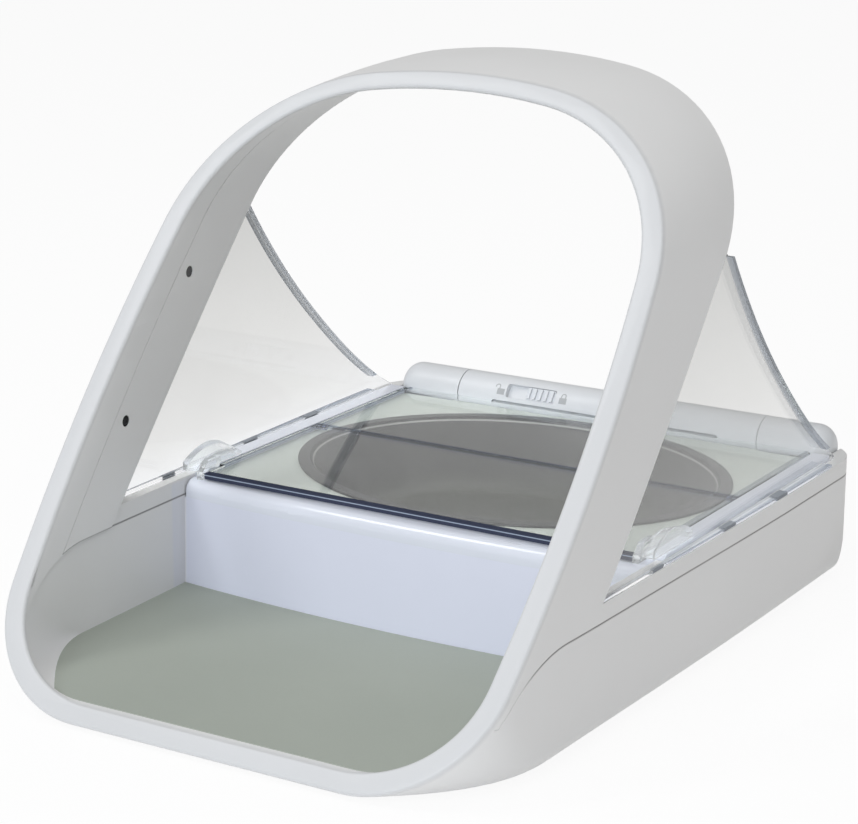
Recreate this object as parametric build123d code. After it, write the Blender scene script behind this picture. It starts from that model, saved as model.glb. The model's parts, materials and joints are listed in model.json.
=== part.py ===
from build123d import *
from math import asin, atan, atan2, cos, degrees, hypot, pi, radians, sin, sqrt, tan
import os

os.makedirs("parts", exist_ok=True)

# ---------------------------------------------------------------- driving dimensions (mm)
FRONT_Y = -159.0          # foot of the leaning front face
REAR_Y = 159.0            # back of the body
LEAN = radians(39.5)      # lean of the front face from upright
REAR_LEAN = radians(40.9) # lean of the hoop's rear face
CORNER_DEPTH = 58.0       # depth over which the big front foot corner tightens
CORNER_POWER = 2.2
WIDEN_DEPTH = 230.0       # depth over which the sides spread to the body's width

HALF_WIDTH_FRONT = 109.5
HALF_WIDTH_BODY = 113.4
MID_HEIGHT = 130.0        # height up the lean where the hoop is widest
SIDE_R_FRONT = 900.0
SIDE_R_BODY = 3000.0
FOOT_R_FRONT = 54.0
FOOT_R_BODY = 10.5
FOOT_S = 2.0              # underside, measured up the lean
SHOULDER_R = 82.0
SHOULDER_S = 197.0
SHOULDER_RISE = 3.5
CROWN_R = 236.0
RING = 8.5                # wall of the hoop, skin to opening
TRAY_WALL = 8.0           # side wall of the tray
SKIN = 2.4
LINER = 2.2
RING_PLATE = 3.6          # depth of the front ring's face plate
SKIRT_DEPTH = 17.2
LINER_START = 17.6
EDGE_R = 1.3

SEAM_Z = 45.2
SEAM_R = 52.0             # the seam dips towards the hoop's front
SEAM_BEND_Y = -92.0
RIM_Z = 52.4
PLAN_HALF = 112.4         # body seen from above, at the rear
PLAN_R = 21.0
HEEL_HIGH = 17.0          # rounding of the rear bottom edge
HEEL_DEEP = 11.0
HOOP_BACK_Y = -113.5      # hoop's rear face where it would meet the floor
TRAY_FLOOR_Z = 6.4
TRAY_CORNER_R = 3.0
TRAY_CORNER_POWER = 0.6
MAT_TOP_Z = 8.25
MAT_GAP = 0.2

WALL_BASE_Y = -31.5
WALL_BASE_SIDE_Y = -25.0
CREASE_Y = -28.0
CREASE_SIDE_Y = -24.0
CREASE_Z = 44.0
WALL_SPAN = 105.0
ROLL_Z = 51.0
ROLL_R = 4.6
ROLL_BACK_Y = -14.0
ROLL_HALF = 102.0
RAIL_GAP = 0.4
RAIL_IN = 98.6
RAIL_OUT = 105.8
RAIL_Z = 54.0
RAIL_FRONT_Y = -16.0
FRAME_BACK_Y = 136.8
FRAME_WALL = 1.6

AXIS_Y = 148.6            # drive bar axis
AXIS_Z = 52.8
BAR_R = 10.2
DRUM_HALF = 72.0
BAR_END_IN = 72.3
BAR_END_OUT = 104.0
BAR_END_R = 8.0
BAR_BORE_R = 8.6
BAR_BORE_END = 100.0
TROUGH_R = 11.2
TROUGH_WALL = 1.5
TROUGH_HALF = 74.0
BACK_TOP_Z = 45.0
SHAFT_R = 2.5
BUSH_BORE_R = 2.55
BUSH_R = 4.5

PIVOT_Y = -19.3           # lid front pivot at rest
LID_BOTTOM_Z = 51.6
LID_THICK = 2.4
LID_HALF = 98.0
LID_FRONT_Y = -20.5
LID_REAR_Y = 137.5
FOLD_Y = (AXIS_Y + PIVOT_Y) / 2
FOLD_GAP = 0.2
TONGUE_HALF = 54.0
TONGUE_END_Y = 143.0
KNUCKLE_R = 1.35
KNUCKLE_GAP = 0.25
PIN_R = 0.7
PIN_FIT = 0.05
SLIDE_PIN_R = 0.8
NOTCH_IN = 95.5
NOTCH_Y = -6.5

DECK_Z = 49.6
DECK_THICK = 2.0
DECK_HALF = 98.4
BOWL_Y = 60.0
BOWL_FLANGE_A = 92.0
BOWL_FLANGE_B = 74.0
BOWL_MOUTH_A = 87.0
BOWL_MOUTH_B = 69.0
BOWL_TAPER = 24.0
BOWL_DEPTH = 26.0
BOWL_WALL = 1.4
BOWL_TOP_Z = 50.7
WELL_GAP = 0.5
WELL_WALL = 1.5

SHIELD_IN = 106.5
SHIELD_SIDE_GAP = 0.4
SHIELD_THICK = 1.6
SHIELD_TOP_Z = 160.0
SHIELD_FLANGE = 2.8
FLANGE_THICK = 1.3

CELL_R = 13.1
CELL_LEN = 50.0
CELL_X = 90.0
CELL_Z = 17.6
BAY_Y0 = -12.0

GEAR_MODULE = 0.8
DRUM_TEETH = 18
SMALL_TEETH = 12
BIG_TEETH = 22
PINION_TEETH = 12
IDLER_OFFSET_Y = -3.5

FOOT_PAD_R = 6.0
FOOT_PAD_SPOTS = [(78, -120), (-78, -120), (82, 130), (-82, 130)]
SCREW_SPOTS = [(60, -12), (-60, -12), (88, 112), (-88, 112)]

BASE_Z = FOOT_S * cos(LEAN)
BIG = 400.0


# ---------------------------------------------------------------- hoop sections
def share_at(depth):
    """1 at the front face, 0 where the foot corner has reached its rear size."""
    return max(1 - depth / CORNER_DEPTH, 0) ** CORNER_POWER


def spread(depth):
    """0 at the front face, 1 where the body has its full width."""
    t = min(depth / WIDEN_DEPTH, 1)
    return t * t * (3 - 2 * t)


def half_width(depth):
    return mix(HALF_WIDTH_BODY, HALF_WIDTH_FRONT, spread(depth))


def side_radius(depth, body_r):
    return 1 / mix(1 / SIDE_R_FRONT, 1 / body_r, share_at(depth))


def mix(front, body, share):
    return body + (front - body) * share


def lean_plane(depth):
    return Plane(origin=(0, FRONT_Y + depth, 0), x_dir=(1, 0, 0), z_dir=(0, -cos(LEAN), sin(LEAN)))


def arch_face(half, side_r, foot_r, foot_s, shoulder_r, shoulder_s, crown_r):
    """Arch outline of tangent arcs: flat foot, corner, side, shoulder and crown, then mirrored."""
    side_x = half - side_r
    dip = asin((MID_HEIGHT - foot_s - foot_r) / (side_r - foot_r))
    foot_x = side_x + (side_r - foot_r) * cos(dip)
    rise = asin((shoulder_s - MID_HEIGHT) / (side_r - shoulder_r))
    shoulder_x = side_x + (side_r - shoulder_r) * cos(rise)
    crown_s = shoulder_s - sqrt((crown_r - shoulder_r) ** 2 - shoulder_x ** 2)
    turn = degrees(atan2(shoulder_s - crown_s, shoulder_x))
    dip = degrees(dip)
    rise = degrees(rise)
    edges = Line((-foot_x, foot_s), (foot_x, foot_s))
    edges += CenterArc((foot_x, foot_s + foot_r), foot_r, -90, 90 - dip)
    edges += CenterArc((side_x, MID_HEIGHT), side_r, -dip, dip + rise)
    edges += CenterArc((shoulder_x, shoulder_s), shoulder_r, rise, turn - rise)
    edges += CenterArc((0, crown_s), crown_r, turn, 180 - 2 * turn)
    edges += CenterArc((-shoulder_x, shoulder_s), shoulder_r, 180 - turn, turn - rise)
    edges += CenterArc((-side_x, MID_HEIGHT), side_r, 180 - rise, dip + rise)
    edges += CenterArc((-foot_x, foot_s + foot_r), foot_r, 180 + dip, 90 - dip)
    return make_face(edges)


def skin_face(depth, inset):
    """Section of the hoop's outer skin, drawn in by inset."""
    share = share_at(depth)
    face = arch_face(
        half_width(depth) - inset,
        side_radius(depth, SIDE_R_BODY) - inset,
        mix(FOOT_R_FRONT, FOOT_R_BODY, share) - inset,
        FOOT_S + inset,
        SHOULDER_R - inset,
        SHOULDER_S + SHOULDER_RISE * (1 - share),
        CROWN_R - inset,
    )
    return lean_plane(depth) * face


def tray_face(depth, inset):
    """Section of the open tray: the skin drawn in, with a tight bottom corner at the back."""
    share = share_at(depth) ** TRAY_CORNER_POWER
    face = arch_face(
        half_width(depth) - inset,
        side_radius(depth, 2 * SIDE_R_BODY),
        mix(FOOT_R_FRONT - inset, TRAY_CORNER_R, share),
        TRAY_FLOOR_Z / cos(LEAN),
        SHOULDER_R - inset,
        SHOULDER_S,
        CROWN_R - inset,
    )
    return lean_plane(depth) * face


def arch_solid(section, inset):
    """Front with its changing corners, spreading middle, then straight back along Y."""
    front = loft([section(depth, inset) for depth in (0, 10, 22, 38, CORNER_DEPTH)])
    middle = loft([section(depth, inset) for depth in (CORNER_DEPTH, 105, 165, WIDEN_DEPTH)])
    back = extrude(section(WIDEN_DEPTH, inset), amount=BIG, dir=(0, 1, 0))
    return front + middle + back


def lean_slab(depth0, depth1):
    """Everything between two planes parallel to the front face."""
    sheet = lean_plane(depth0) * Rectangle(2 * BIG, 3 * BIG)
    return extrude(sheet, amount=depth1 - depth0, dir=(0, 1, 0))


def hoop_back_y(z):
    return HOOP_BACK_Y + z * tan(REAR_LEAN)


def side_prism(points, x0, x1):
    """Polygon in the YZ plane, run from x0 to x1."""
    return extrude(Plane.YZ.offset(x0) * make_face(Polyline(*points, close=True)), amount=x1 - x0)


def box_between(x0, x1, y0, y1, z0, z1):
    return Pos((x0 + x1) / 2, (y0 + y1) / 2, (z0 + z1) / 2) * Box(x1 - x0, y1 - y0, z1 - z0)


def rod_x(radius, x0, x1, y, z):
    return Pos((x0 + x1) / 2, y, z) * Rot(0, 90, 0) * Cylinder(radius, x1 - x0)


def rod_y(radius, y0, y1, x, z):
    return Pos(x, (y0 + y1) / 2, z) * Rot(90, 0, 0) * Cylinder(radius, y1 - y0)


def rod_z(radius, z0, z1, x, y):
    return Pos(x, y, (z0 + z1) / 2) * Cylinder(radius, z1 - z0)


def plan_face(inset, drawn, z):
    """Body seen from above at height z, its rear edge drawn in."""
    sheet = Pos(0, REAR_Y - inset - drawn - BIG / 2, z) * Rectangle(2 * (PLAN_HALF - inset), BIG)
    corners = sheet.vertices().sort_by(Axis.Y)[2:]
    return fillet(corners, PLAN_R - inset + drawn)


def plan_block(inset):
    """Upright body with rounded rear corners and a rounded rear bottom edge."""
    base = BASE_Z + inset - 0.2
    steps = [0, 0.12, 0.32, 0.6, 1]
    heel = loft([plan_face(inset, HEEL_DEEP * (1 - sqrt(1 - (1 - t) ** 2)), base + HEEL_HIGH * t) for t in steps])
    return heel + extrude(plan_face(inset, 0, base + HEEL_HIGH), amount=BIG)


def mirrored(part):
    return mirror(part, about=Plane.YZ)


def save(part, name):
    export_step(part, "parts/" + name + ".step")


# ---------------------------------------------------------------- shared bodies
SKIN_OUT = arch_solid(skin_face, 0)
SKIN_IN = arch_solid(skin_face, SKIN)
MOUTH = arch_solid(skin_face, RING)
MOUTH_OUT = arch_solid(skin_face, RING - LINER)
TRAY = arch_solid(tray_face, TRAY_WALL)
BODY_PLAN = plan_block(0)


def seam_side(top):
    """Everything above or below the seam between the two casings."""
    low_y = FRONT_Y - 10
    dip = CenterArc((SEAM_BEND_Y, SEAM_Z - SEAM_R), SEAM_R, 90, 50)
    start = dip @ 1
    limit = 300 if top else -50
    edges = dip + Line((SEAM_BEND_Y, SEAM_Z), (BIG, SEAM_Z))
    edges += Polyline((BIG, SEAM_Z), (BIG, limit), (low_y, limit), (low_y, start.Y), (start.X, start.Y))
    return extrude(Plane.YZ * make_face(edges), amount=BIG / 2, both=True)


ABOVE_SEAM = seam_side(True)
BELOW_SEAM = seam_side(False)
BEHIND_HOOP = side_prism(
    [(hoop_back_y(-50), -50), (hoop_back_y(300), 300), (BIG, 300), (BIG, -50)], -BIG / 2, BIG / 2
)
HOOP_BACK_WALL = side_prism(
    [(hoop_back_y(-50) - SKIN, -50), (hoop_back_y(300) - SKIN, 300), (hoop_back_y(300), 300), (hoop_back_y(-50), -50)],
    -BIG / 2,
    BIG / 2,
)


def arc_plan(front_y, side_y, z):
    """Region behind an arc that bows forward, as a face at height z."""
    bow = ThreePointArc((-WALL_SPAN, side_y), (0, front_y), (WALL_SPAN, side_y))
    rest = Polyline((WALL_SPAN, side_y), (WALL_SPAN + 8, side_y + 0.8), (WALL_SPAN + 8, 60))
    rest += Polyline((WALL_SPAN + 8, 60), (-WALL_SPAN - 8, 60), (-WALL_SPAN - 8, side_y + 0.8))
    rest += Line((-WALL_SPAN - 8, side_y + 0.8), (-WALL_SPAN, side_y))
    return Pos(0, 0, z) * make_face(bow + rest)


def housing_front(shift, z0):
    """Block behind the bowl housing's front wall, set back by shift."""
    base = arc_plan(WALL_BASE_Y + shift, WALL_BASE_SIDE_Y + shift, z0)
    crest = arc_plan(CREASE_Y + shift, CREASE_SIDE_Y + shift, CREASE_Z)
    return loft([base, crest], ruled=True)


# ---------------------------------------------------------------- casings and hoop
def front_ring():
    plate = (SKIN_OUT - MOUTH) & lean_slab(-1, RING_PLATE)
    front_edges = [edge for edge in plate.edges() if on_lean(edge, 0)]
    plate = fillet(front_edges, EDGE_R)
    skirt = (MOUTH_OUT - MOUTH) & lean_slab(RING_PLATE - 0.01, SKIRT_DEPTH) & ABOVE_SEAM
    return plate + skirt


def on_lean(edge, depth):
    centre = edge.center()
    return abs(centre.Y - FRONT_Y - depth - centre.Z * tan(LEAN)) < 0.01


def coil_face(inset):
    return skin_face(9, inset)


def coil_loop(inset0, inset1, depth0, depth1):
    ring = coil_face(inset0) - coil_face(inset1)
    return Pos(0, depth0 - 9, 0) * extrude(ring, amount=depth1 - depth0, dir=(0, 1, 0))


def lower_casing():
    body = SKIN_OUT & BODY_PLAN & BELOW_SEAM
    body -= lean_slab(-1, RING_PLATE)
    tray = TRAY & box_between(-BIG, BIG, -BIG, FRAME_BACK_Y, TRAY_FLOOR_Z - 1, 100)
    body -= tray - housing_front(0, TRAY_FLOOR_Z - 2) - box_between(-BIG, BIG, 59, BIG, -1, CREASE_Z)
    inner = housing_front(SKIN, BASE_Z + SKIN) + box_between(-113, 113, 59, REAR_Y, BASE_Z + SKIN, CREASE_Z)
    inner += box_between(-113, 113, -15, REAR_Y, CREASE_Z - 1, SEAM_Z + 5)
    body -= inner & SKIN_IN & plan_block(SKIN)
    body -= rail_pocket()
    body -= box_between(-104.4, 104.4, FRAME_BACK_Y + 0.4, REAR_Y + 5, BACK_TOP_Z, 80)
    body -= coil_loop(2.5, 4.7, 8.7, 14.8)
    for x, y in SCREW_SPOTS:
        body += rod_z(4, BASE_Z + 0.5, 40.8, x, y)
        body -= rod_z(3.1, -1, 36.9, x, y)
        body -= rod_z(1.6, 30, 50, x, y)
    for x, y in FOOT_PAD_SPOTS:
        body -= rod_z(FOOT_PAD_R + 0.05, -1, BASE_Z + 0.6, x, y)
    for side in (1, -1):
        bay = box_between(75.2, 76.6, -17, 92.6, BASE_Z + 1, 19.5)
        bay += box_between(75.2, 104, -17.0, -15.6, BASE_Z + 1, 19.5)
        bay += box_between(75.2, 104, 91.2, 92.6, BASE_Z + 1, 19.5)
        bay -= door_box(0.2)
        bay = bay if side > 0 else mirrored(bay)
        door = door_box(0.2) if side > 0 else mirrored(door_box(0.2))
        body += bay
        body -= door
    for x in BOARD_POSTS:
        body += box_between(x - 2, x + 2, BOARD_Y - 3, BOARD_Y - 0.02, BASE_Z + 1, 30)
        body += box_between(x - 2, x + 2, BOARD_Y - 3, BOARD_Y + BOARD_THICK + 2, BASE_Z + 1, BOARD_BASE_Z - 0.02)
    for x in BUTTON_X:
        body -= rod_y(BUTTON_R + 0.25, 150, REAR_Y + 5, x, BUTTON_Z)
    body -= box_between(SWITCH_X - 8, SWITCH_X + 8, 150, REAR_Y + 5, BUTTON_Z - 2.3, BUTTON_Z + 2.3)
    return body


def rail_pocket():
    """Room for the side rails and the frame behind the front wall."""
    half = RAIL_OUT + RAIL_GAP
    return box_between(-half, half, RAIL_FRONT_Y - RAIL_GAP, FRAME_BACK_Y + 0.2, CREASE_Z, 90)


def door_box(gap):
    return box_between(78 - gap, 102 + gap, -15 - gap, 90.6 + gap, 0, BASE_Z + SKIN + 2)


def upper_casing():
    hoop = (SKIN_OUT - SKIN_IN) - BEHIND_HOOP
    hoop += (SKIN_OUT - MOUTH_OUT) & HOOP_BACK_WALL
    hoop = (hoop & ABOVE_SEAM) - lean_slab(-1, RING_PLATE)
    rim = SKIN_OUT & BODY_PLAN & BEHIND_HOOP & box_between(-BIG, BIG, -BIG, BIG, SEAM_Z, RIM_Z)
    rim -= TRAY & box_between(-BIG, BIG, -BIG, RAIL_FRONT_Y, 0, 90)
    rim -= rail_pocket()
    rim -= box_between(-104.4, 104.4, 0, BIG, 0, 90)
    return hoop + rim


def hoop_liner():
    liner = (MOUTH_OUT - MOUTH) & lean_slab(LINER_START, 90) & ABOVE_SEAM
    liner -= BEHIND_HOOP
    for y, z in SENSOR_SPOTS:
        liner -= rod_x(SENSOR_R + 0.1, -120, 120, y, z)
    return liner


SENSOR_DEPTH = 26.0
SENSOR_R = 2.2
SENSOR_SPOTS = [(FRONT_Y + z * tan(LEAN) + SENSOR_DEPTH, z) for z in (136.0, 85.0)]


def mouth_x(depth, z):
    """Half width of the hoop's opening at height z."""
    bend = side_radius(depth, SIDE_R_BODY) - RING
    rise = z / cos(LEAN) - MID_HEIGHT
    return half_width(depth) - RING - bend + sqrt(bend ** 2 - rise ** 2)


def sensor_pair(side):
    """Two round infra-red parts set in one leg of the hoop."""
    pair = Part()
    for y, z in SENSOR_SPOTS:
        tip = mouth_x(SENSOR_DEPTH, z) + 0.4
        collar = tip + LINER + 0.8
        body = rod_x(SENSOR_R, tip, collar + 1.4, y, z) + rod_x(SENSOR_R + 0.5, collar, collar + 1.4, y, z)
        pair += body if side > 0 else mirrored(body)
    return pair


def reader_coil():
    return coil_loop(2.7, 4.5, 9, 14.5)


def floor_mat():
    slab = box_between(-BIG, BIG, FRONT_Y - 20, 20, TRAY_FLOOR_Z, MAT_TOP_Z)
    shape = (TRAY & slab) - housing_front(-MAT_GAP, TRAY_FLOOR_Z - 2) - box_between(-BIG, BIG, -17, 30, 0, 20)
    return shape - lean_slab(-1, RING_PLATE + MAT_GAP)


def rail_frame():
    crest = arc_plan(CREASE_Y, CREASE_SIDE_Y, CREASE_Z)
    roll = extrude(crest, amount=ROLL_Z - CREASE_Z, dir=(0, 0, 1))
    front_top = [e for e in roll.edges().group_by(Axis.Z)[-1] if e.center().Y < -20 and e.length > 150]
    roll = fillet(front_top, ROLL_R)
    hollow = extrude(arc_plan(CREASE_Y + SKIN, CREASE_SIDE_Y + SKIN, CREASE_Z - 1), amount=5.6, dir=(0, 0, 1))
    roll -= hollow
    roll &= box_between(-ROLL_HALF, ROLL_HALF, -60, ROLL_BACK_Y, 0, 90)
    for side in (1, -1):
        rail = box_between(RAIL_IN, RAIL_OUT, RAIL_FRONT_Y, FRAME_BACK_Y, CREASE_Z, RAIL_Z)
        rail = fillet([e for e in rail.edges().group_by(Axis.Z)[-1] if e.center().Y < RAIL_FRONT_Y + 1], 2.6)
        inside = box_between(RAIL_IN + FRAME_WALL, RAIL_OUT - FRAME_WALL, RAIL_FRONT_Y + 4, 135, 0, RAIL_Z - FRAME_WALL)
        rail -= inside
        roll += rail if side > 0 else mirrored(rail)
    return roll


# ---------------------------------------------------------------- deck and bowl
def oval(a, b, z):
    return Pos(0, BOWL_Y, z) * Ellipse(a, b)


def dish(a, b, z_top, z_bottom, taper, corner):
    """Tapered oval block with a rounded bottom edge."""
    block = loft([oval(a, b, z_top), oval(a - taper, b - taper, z_bottom)], ruled=True)
    bottom = block.edges().sort_by(Axis.Z)[0]
    return fillet(bottom, corner)


def bowl():
    floor_z = BOWL_TOP_Z - BOWL_DEPTH
    outer = dish(BOWL_MOUTH_A + BOWL_WALL, BOWL_MOUTH_B + BOWL_WALL, BOWL_TOP_Z, floor_z - BOWL_WALL, BOWL_TAPER, 15)
    inner = dish(BOWL_MOUTH_A, BOWL_MOUTH_B, BOWL_TOP_Z, floor_z, BOWL_TAPER, 14)
    flange = extrude(oval(BOWL_FLANGE_A, BOWL_FLANGE_B, DECK_Z + 0.1), amount=BOWL_TOP_Z - DECK_Z - 0.1)
    flange = fillet(flange.edges().sort_by(Axis.Z)[-1], 0.6)
    return flange + outer - inner


def bowl_deck():
    plate = box_between(-DECK_HALF, DECK_HALF, ROLL_BACK_Y + 0.1, FRAME_BACK_Y - 0.2, DECK_Z - DECK_THICK, DECK_Z)
    outset = BOWL_WALL + WELL_GAP
    floor_z = BOWL_TOP_Z - BOWL_DEPTH - BOWL_WALL - WELL_GAP
    outer_a = BOWL_MOUTH_A + outset + WELL_WALL
    outer_b = BOWL_MOUTH_B + outset + WELL_WALL
    well = dish(outer_a, outer_b, DECK_Z, floor_z - WELL_WALL, BOWL_TAPER, 16.5)
    hollow = dish(BOWL_MOUTH_A + outset, BOWL_MOUTH_B + outset, BOWL_TOP_Z, floor_z, BOWL_TAPER, 15)
    trough = rod_x(TROUGH_R + TROUGH_WALL, -TROUGH_HALF, TROUGH_HALF, AXIS_Y, AXIS_Z)
    trough &= box_between(-BIG, BIG, 120, REAR_Y - SKIN - 0.3, 0, DECK_Z)
    deck = plate + well + trough
    for x, y in SCREW_SPOTS:
        deck += rod_z(4, 41, DECK_Z - 1, x, y)
        deck -= rod_z(1.5, 30, 46.5, x, y)
    deck -= rod_x(TROUGH_R, -TROUGH_HALF, TROUGH_HALF, AXIS_Y, AXIS_Z)
    return deck - hollow


# ---------------------------------------------------------------- bar, lid and lock
LOCK_ANGLE = radians(37)
LOCK_X0 = -48.0
LOCK_X1 = -23.7
LOCK_HIGH = 6.5
LOCK_DEEP = 3.0
KNOB_LONG = 14.0
RIBS = 5


def lock_frame():
    """Seat of the lock slider: x along the bar, z straight out of the bar's skin."""
    out = (0, -cos(LOCK_ANGLE), sin(LOCK_ANGLE))
    return Plane(origin=(0, AXIS_Y + out[1] * BAR_R, AXIS_Z + out[2] * BAR_R), x_dir=(1, 0, 0), z_dir=out)


def drive_drum():
    drum = rod_x(BAR_R, -DRUM_HALF, DRUM_HALF, AXIS_Y, AXIS_Z)
    drum = fillet(drum.edges(), 0.4)
    slot_z = LID_BOTTOM_Z - 0.25
    drum -= box_between(-TONGUE_HALF - 0.3, TONGUE_HALF + 0.3, 130, TONGUE_END_Y + 0.4, slot_z, slot_z + LID_THICK + 0.5)
    seat = box_between(LOCK_X0, LOCK_X1, -LOCK_HIGH / 2, LOCK_HIGH / 2, -LOCK_DEEP, 5)
    seat = fillet(seat.edges().filter_by(Axis.Z), 1.2)
    drum -= lock_frame() * seat
    return drum - rod_x(SHAFT_R, -80, 80, AXIS_Y, AXIS_Z)


def lock_slider():
    x1 = LOCK_X1 - 0.5
    x0 = x1 - KNOB_LONG
    half = LOCK_HIGH / 2 - 0.2
    knob = box_between(x0, x1, -half, half, -LOCK_DEEP + 0.1, -0.9)
    knob = fillet(knob.edges().filter_by(Axis.Z), 1.0)
    pitch = KNOB_LONG / RIBS
    for i in range(RIBS):
        middle = x0 + (i + 0.5) * pitch
        rib = box_between(middle - 0.7, middle + 0.7, -half + 0.5, half - 0.5, -1.0, 0.0)
        knob += rib
    return lock_frame() * knob


def bar_end():
    """Fixed end cover of the bar, right side."""
    cover = rod_x(BAR_R, BAR_END_IN, BAR_END_OUT, AXIS_Y, AXIS_Z)
    cover = fillet(cover.edges().sort_by(Axis.X)[-1], BAR_END_R)
    cover -= rod_x(BAR_BORE_R, BAR_END_IN + 3, BAR_BORE_END, AXIS_Y, AXIS_Z)
    cover -= rod_x(BUSH_R, BAR_END_IN - 1, BAR_END_IN + 4, AXIS_Y, AXIS_Z)
    cover &= BODY_PLAN & box_between(-BIG, BIG, 0, BIG, BACK_TOP_Z + 0.1, 90)
    return cover - rod_x(10.2, 87, 99.4, IDLER_Y, IDLER_Z)


def bar_bush():
    sleeve = rod_x(BUSH_R, BAR_END_IN + 0.2, BAR_END_IN + 3, AXIS_Y, AXIS_Z)
    return sleeve - rod_x(BUSH_BORE_R, 0, 100, AXIS_Y, AXIS_Z)


def lid_plate(y0, y1):
    return box_between(-LID_HALF, LID_HALF, y0, y1, LID_BOTTOM_Z, LID_BOTTOM_Z + LID_THICK)


def both_sides(part):
    return part + mirrored(part)


def knuckle(x0, x1, radius):
    return both_sides(rod_x(radius, x0, x1, FOLD_Y, LID_BOTTOM_Z))


KNUCKLE_X = (93.3, 95.4, 95.7, 97.8)


def lid_rear_panel():
    plate = lid_plate(FOLD_Y + FOLD_GAP, LID_REAR_Y)
    plate = fillet(plate.edges().filter_by(Axis.Z).sort_by(Axis.Y)[2:], 3)
    plate += box_between(-TONGUE_HALF, TONGUE_HALF, LID_REAR_Y - 1, TONGUE_END_Y, LID_BOTTOM_Z, LID_BOTTOM_Z + LID_THICK)
    plate -= knuckle(KNUCKLE_X[2] - KNUCKLE_GAP, KNUCKLE_X[3] + 1, KNUCKLE_R + KNUCKLE_GAP)
    plate += knuckle(KNUCKLE_X[0], KNUCKLE_X[1], KNUCKLE_R) & box_between(-BIG, BIG, 0, BIG, 0, LID_BOTTOM_Z + 1.2)
    return plate - knuckle(0, 120, PIN_R)


def lid_front_panel():
    plate = lid_plate(LID_FRONT_Y, FOLD_Y - FOLD_GAP)
    notch = box_between(NOTCH_IN, 120, -60, NOTCH_Y, 0, 90)
    plate -= both_sides(notch)
    plate -= knuckle(KNUCKLE_X[0] - KNUCKLE_GAP, KNUCKLE_X[1] + KNUCKLE_GAP, KNUCKLE_R + KNUCKLE_GAP)
    plate += knuckle(KNUCKLE_X[2], KNUCKLE_X[3], KNUCKLE_R)
    plate -= knuckle(0, 120, PIN_R + PIN_FIT)
    plate -= both_sides(rod_x(SLIDE_PIN_R, 88, 120, PIVOT_Y, AXIS_Z))
    return plate


def lid_hinge_pins():
    return knuckle(KNUCKLE_X[0], KNUCKLE_X[3], PIN_R)


def lid_slide_pins():
    return both_sides(rod_x(SLIDE_PIN_R, 88, 98, PIVOT_Y, AXIS_Z))


def hood_face(x, lift, shrink):
    """Side outline of the shoe's hood, flat below and arched on top."""
    low = RAIL_Z + 0.3 - (4 if shrink else 0)
    front = -22 + shrink
    back = 9.5 - shrink
    nose = 56.2 + lift - shrink
    tail = 55.9 + lift * 0.5 - shrink
    arch = Spline((front, nose), (-16.0, 59.0 + lift - shrink), (-4.0, 60.8 + lift - shrink), (back, tail))
    base = Polyline((back, tail), (back, low), (front, low), (front, nose))
    return Plane.YZ.offset(x) * make_face(arch + base)


def lid_shoe():
    """Clear hooded shoe at the lid's right front corner; it stays upright on the rail."""
    hood = loft([hood_face(98.4, -1.0, 0), hood_face(105.0, 1.3, 0)], ruled=True)
    hood -= loft([hood_face(99.8, -0.6, 1.4), hood_face(103.6, 0.8, 1.4)], ruled=True)
    cheek = side_prism([(-21.8, 51.4), (-13, 51.4), (-8.6, 56), (-8.6, 58.4), (-17, 58.4), (-21.8, 54)], 95.8, 98.3)
    cheek = cheek + box_between(98.2, 99.0, -18, -9.5, RAIL_Z + 0.4, 57)
    return hood + cheek - rod_x(SLIDE_PIN_R + PIN_FIT, 90, 98.4, PIVOT_Y, AXIS_Z)


# ---------------------------------------------------------------- side shields
def shield():
    """Right shield: upright plate, lip along its concave edge, strip that lies on the rim."""
    low = RIM_Z + 0.05
    top = (hoop_back_y(SHIELD_TOP_Z) + 0.15, SHIELD_TOP_Z)
    tail = (138.2, RIM_Z + 1.6)
    edge = Spline(top, (56, 121), (88, 90), (131, 58.0), tail)
    face = make_face(edge + Polyline(tail, (tail[0], low), (hoop_back_y(low) + 0.15, low), top))
    plate = extrude(Plane.YZ.offset(SHIELD_IN) * face, amount=SHIELD_THICK)
    band = face - Pos(-FLANGE_THICK, -FLANGE_THICK) * face
    lip = extrude(Plane.YZ.offset(SHIELD_IN) * band, amount=SHIELD_THICK + SHIELD_FLANGE)
    lip &= box_between(0, BIG, -BIG, BIG, RIM_Z + 8, SHIELD_TOP_Z - 2)
    strip = box_between(SHIELD_IN + 0.4, 120, hoop_back_y(RIM_Z) - 20, 126, low, low + FLANGE_THICK)
    strip &= arch_solid(skin_face, SHIELD_SIDE_GAP)
    strip -= side_prism([(hoop_back_y(0) + 0.3, 0), (hoop_back_y(90) + 0.3, 90), (-BIG, 90), (-BIG, 0)], 0, 150)
    return plate + lip + strip


# ---------------------------------------------------------------- drive
IDLER_Y = AXIS_Y + IDLER_OFFSET_Y
IDLER_Z = AXIS_Z - sqrt(((DRUM_TEETH + SMALL_TEETH) * GEAR_MODULE / 2) ** 2 - IDLER_OFFSET_Y ** 2)
PINION_REACH = (BIG_TEETH + PINION_TEETH) * GEAR_MODULE / 2
PINION_Y = IDLER_Y - 0.30 * PINION_REACH
PINION_Z = IDLER_Z - sqrt(1 - 0.30 ** 2) * PINION_REACH
PRESSURE = radians(20)


def involute(radius, base_r):
    if radius <= base_r:
        return 0.0
    roll = sqrt((radius / base_r) ** 2 - 1)
    return roll - atan(roll)


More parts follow.
